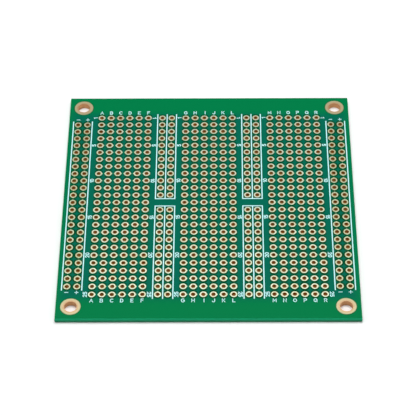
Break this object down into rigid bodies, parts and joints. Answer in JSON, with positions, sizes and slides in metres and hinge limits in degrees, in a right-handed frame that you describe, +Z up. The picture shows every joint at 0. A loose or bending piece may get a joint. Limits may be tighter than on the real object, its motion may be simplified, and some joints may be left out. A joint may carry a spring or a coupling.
{
  "type": "prototype circuit board",
  "caption": "Square bare through-hole prototyping board with plated lead holes in rows, bus and rail columns, green mask, printed legend and corner mounting holes.",
  "frame": {"origin": "centre of the bounding box's base, under the centre of the board", "axes": "+Z up out of the printed face, +Y towards the row 1 edge, +X to the right with row 1 at the rear"},
  "size_m": [0.0762, 0.0762, 0.0016],
  "materials": {
    "laminate": "cut glass-epoxy laminate",
    "solder_mask": "glossy green solder mask",
    "plated_copper": "pale gold over nickel on copper",
    "legend_ink": "white printed ink"
  },
  "bodies": {
    "root": {"substrate": "laminate", "solder_mask_top": "solder_mask", "solder_mask_bottom": "solder_mask", "row_strips_left": "plated_copper", "row_strips_middle": "plated_copper", "row_strips_right": "plated_copper", "bus_strip_rear_1": "plated_copper", "bus_strip_rear_2": "plated_copper", "bus_strip_rear_3": "plated_copper", "bus_strip_rear_4": "plated_copper", "bus_strip_front_1": "plated_copper", "bus_strip_front_2": "plated_copper", "bus_strip_front_3": "plated_copper", "bus_strip_front_4": "plated_copper", "rail_strip_1": "plated_copper", "rail_strip_2": "plated_copper", "rail_strip_3": "plated_copper", "rail_strip_4": "plated_copper", "mounting_land_front_left": "plated_copper", "mounting_land_rear_left": "plated_copper", "mounting_land_front_right": "plated_copper", "mounting_land_rear_right": "plated_copper", "legend_rail_left": "legend_ink", "legend_rail_right": "legend_ink", "legend_bus_rear_left": "legend_ink", "legend_bus_rear_right": "legend_ink", "legend_bus_front_left": "legend_ink", "legend_bus_front_right": "legend_ink"}
  },
  "joints": []
}
